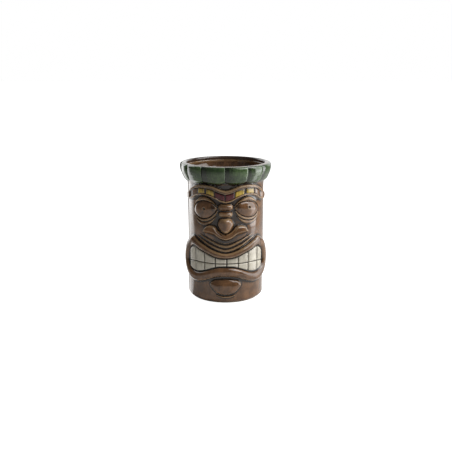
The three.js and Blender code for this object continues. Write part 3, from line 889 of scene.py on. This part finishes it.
# Each glaze: where it is thin over an edge, its body light and dark, and where it pools; then how rough it
# is.
# A glaze's darkest colour serves pooled glaze, streaks and specks, and also the painted shade in hollows,
# recesses and tucked places.
GLAZES = {
    "brown_glaze": dict(thin="a58764", light="805c3d", dark="61442c", pool_shade_dark="2b1c10", rough=0.1),
    "dark_glaze": dict(thin="4a382a", light="2a2018", dark="1d1610", pool_shade_dark="0e0a07", rough=0.25),
    "green_glaze": dict(thin="9caa88", light="4a6039", dark="304626", pool_shade_dark="16220f", rough=0.09),
    "gold_glaze": dict(thin="dcc67c", light="c2a236", dark="a68826", pool_shade_dark="4a3a18", rough=0.22),
    "red_glaze": dict(thin="7a3038", light="580b18", dark="440810", pool_shade_dark="1e080b", rough=0.2),
    "ivory_glaze": dict(thin="e0dbcc", light="d4cebd", dark="c2bbaa", pool_shade_dark="54473a", rough=0.2),
    "rim_glaze": dict(thin="a2958a", light="4c3a2e", dark="3b2d23", pool_shade_dark="211811", rough=0.18),
    "bare_clay": dict(thin="d8cab5", light="c3b29b", dark="b09e86", pool_shade_dark="7a6752", rough=0.75),
}


def make_glaze(name, thin, light, dark, pool_shade_dark, rough):
    made = bpy.data.materials.new(name)
    made.use_nodes = True
    tree = Tree(made.node_tree)
    shader = made.node_tree.nodes["Principled BSDF"]
    cloudy = tree.noise(9, seed=1)
    wiped = tree.noise(1.6, detail=4, stretch=(1, 1, 5), seed=5)
    specks = tree.noise(0.55, detail=1, seed=9)

    body = tree.mix(tree.spread(cloudy, 0.32, 0.68), rgb(dark), rgb(light))
    body = tree.mix(tree.spread(wiped, 0.52, 0.75, high=0.35), body, rgb(pool_shade_dark))
    uneven = tree.math("MULTIPLY", tree.math("SUBTRACT", wiped, 0.5), 0.7)
    # Darkens towards the darkest colour where glaze pools and where shade is painted.
    pool_shade_mix = tree.spread(tree.math("ADD", tree.attribute("pool_shade_amount"), uneven), 0.1, 0.75)
    body = tree.mix(pool_shade_mix, body, rgb(pool_shade_dark))
    # The thin colour shows where glaze breaks over edges; on the rim and the leaves' edges it is partly a
    # painted highlight.
    breaking = tree.spread(tree.math("ADD", tree.attribute("crest"), uneven), 0.2, 0.85, high=0.75)
    body = tree.mix(breaking, body, rgb(thin))
    body = tree.mix(tree.spread(specks, 0.7, 0.78, high=0.55), body, rgb(pool_shade_dark))
    tree.tree.links.new(body, shader.inputs["Base Color"])

    patchy = tree.spread(cloudy, 0.3, 0.7, low=0.85 * rough, high=1.25 * rough)
    tree.tree.links.new(patchy, shader.inputs["Roughness"])
    ripple = tree.noise(3.2, detail=2, seed=13)
    peel = tree.noise(0.5, detail=2, seed=17)
    soft = tree.node("ShaderNodeBump", {"Height": ripple, "Strength": 0.25, "Distance": 0.2 * MM})
    grain = tree.node("ShaderNodeBump", {"Height": peel, "Strength": 0.12 if rough < 0.5 else 0.6,
                                         "Distance": 0.05 * MM, "Normal": soft.outputs["Normal"]})
    tree.tree.links.new(grain.outputs["Normal"], shader.inputs["Normal"])
    if rough < 0.5:
        shader.inputs["Coat Weight"].default_value = 0.6
        shader.inputs["Coat Roughness"].default_value = 0.04
    return made


MATERIALS = {}


def material(name):
    if name not in MATERIALS:
        MATERIALS[name] = make_glaze(name, **GLAZES[name])
    return MATERIALS[name]


# --------------------------------------------------------------------------------------------------
# Studio: camera, floor and light
# --------------------------------------------------------------------------------------------------

LENS = 52.6
CAMERA_PLACE = (0.0004, -0.6946, 0.2393)
CAMERA_DIP = 13.35  # degrees that the camera looks down


def make_camera():
    lens = bpy.data.cameras.new("camera")
    lens.lens = LENS
    camera = bpy.data.objects.new("camera", lens)
    camera.location = CAMERA_PLACE
    camera.rotation_euler = (math.radians(90 - CAMERA_DIP), 0, 0)
    bpy.context.scene.collection.objects.link(camera)
    bpy.context.scene.camera = camera


# Where the table glows, as painted light that stands for the light of the backdrop and the window thrown
# back from it: the point that the glow fans out from, the way it fans out, and how strong it is.
TABLE_GLOW = [
    ((-0.032, -0.017, 0), (-0.73, 0.68, 0), 1.1),
    ((0.11, -0.03, 0), (1, 0, 0), 1.6),
]
FAN_EDGE = (0.93, 0.96)  # the cosines of the angles between which a fan's edge fades


FLOOR_REACH = 12


def make_floor():
    """The table. It looks white to the camera; to the mug it glows, as painted light, only in the fans
    listed above.
    """
    mesh = bpy.data.meshes.new("floor")
    corners = [(x * FLOOR_REACH, y * FLOOR_REACH, 0) for x, y in ((-1, -1), (1, -1), (1, 1), (-1, 1))]
    mesh.from_pydata(corners, [], [(0, 1, 2, 3)])
    pale = bpy.data.materials.new("pale_floor")
    pale.use_nodes = True
    shader = pale.node_tree.nodes["Principled BSDF"]
    shader.inputs["Base Color"].default_value = (0.85, 0.84, 0.82, 1)
    shader.inputs["Roughness"].default_value = 0.9
    shader.inputs["Specular IOR Level"].default_value = 0
    shader.inputs["Emission Color"].default_value = (1, 1, 1, 1)
    nodes, links = pale.node_tree.nodes, pale.node_tree.links
    place = nodes.new("ShaderNodeTexCoord").outputs["Object"]
    glow = nodes.new("ShaderNodeLightPath").outputs["Is Camera Ray"]
    for middle, side, strength in TABLE_GLOW:
        shine = lit_from(nodes, links, place, middle, side, FAN_EDGE, (0, strength))
        larger = nodes.new("ShaderNodeMath")
        larger.operation = "MAXIMUM"
        links.new(glow, larger.inputs[0])
        links.new(shine, larger.inputs[1])
        glow = larger.outputs[0]
    links.new(glow, shader.inputs["Emission Strength"])
    mesh.materials.append(pale)
    floor = bpy.data.objects.new("floor", mesh)
    bpy.context.scene.collection.objects.link(floor)


def make_softbox(name, azimuth, middle, distance, size, radiance, gloss=1):
    """A rectangular light that faces the mug. Azimuth is from the camera's side, positive to the right.

    The middle of the light is at the height given, and gloss is how strongly glazes mirror it.
    """
    light = bpy.data.lights.new(name, "AREA")
    light.shape = "RECTANGLE"
    light.size, light.size_y = size
    light.energy = radiance * math.pi * size[0] * size[1]
    light.specular_factor = gloss
    lamp = bpy.data.objects.new(name, light)
    angle = math.radians(azimuth)
    lamp.location = (distance * math.sin(angle), -distance * math.cos(angle), middle)
    towards = Vector((0, 0, HEIGHT * MM / 2)) - lamp.location
    lamp.rotation_mode = "QUATERNION"
    lamp.rotation_quaternion = towards.to_track_quat("-Z", "Y")
    lamp.visible_camera = False
    bpy.context.scene.collection.objects.link(lamp)


def lit_from(nodes, links, place, middle, side, spread, strengths):
    """A strength for each way out from a middle point, dim then bright towards one side.

    spread gives how closely a way must point to that side where it starts to brighten, and where it
    is bright.
    """
    away = nodes.new("ShaderNodeVectorMath")
    away.operation = "SUBTRACT"
    away.inputs[1].default_value = middle
    links.new(place, away.inputs[0])
    outward = nodes.new("ShaderNodeVectorMath")
    outward.operation = "NORMALIZE"
    links.new(away.outputs["Vector"], outward.inputs[0])
    towards = nodes.new("ShaderNodeVectorMath")
    towards.operation = "DOT_PRODUCT"
    towards.inputs[1].default_value = side
    links.new(outward.outputs["Vector"], towards.inputs[0])
    strength = nodes.new("ShaderNodeMapRange")
    strength.interpolation_type = "SMOOTHSTEP"
    strength.inputs["From Min"].default_value, strength.inputs["From Max"].default_value = spread
    strength.inputs["To Min"].default_value, strength.inputs["To Max"].default_value = strengths
    links.new(towards.outputs["Value"], strength.inputs["Value"])
    return strength.outputs["Result"]


def make_world():
    """A dim room with a bright backdrop behind the mug. The camera sees it all white."""
    world = bpy.data.worlds.new("studio")
    bpy.context.scene.world = world
    world.use_nodes = True
    nodes, links = world.node_tree.nodes, world.node_tree.links
    background = nodes["Background"]
    place = nodes.new("ShaderNodeTexCoord").outputs["Generated"]
    strength = nodes.new("ShaderNodeMath")
    strength.operation = "MAXIMUM"
    links.new(lit_from(nodes, links, place, (0, 0, 0), (0, 1, 0), (0.45, 0.6), (0.1, 1)), strength.inputs[0])
    links.new(nodes.new("ShaderNodeLightPath").outputs["Is Camera Ray"], strength.inputs[1])
    background.inputs["Color"].default_value = (1, 1, 1, 1)
    links.new(strength.outputs[0], background.inputs["Strength"])


def make_studio():
    make_camera()
    make_floor()
    make_world()
    make_softbox("window", 82, 0.22, 0.3, (0.22, 0.42), 2.8)
    make_softbox("backdrop", -130, 0.2, 0.4, (0.2, 0.5), 1.25)
    make_softbox("overhead", 56, 0.75, 0.55, (0.6, 0.6), 3.1, gloss=0.3)
    bpy.context.scene.view_settings.view_transform = "Standard"


make_studio()
relief, ground, sprigs, trim = mask_relief()
shading = make_mask(relief, ground, sprigs, trim)
make_cup(relief, ground, shading)
make_foot()
make_leaves()
make_rim()
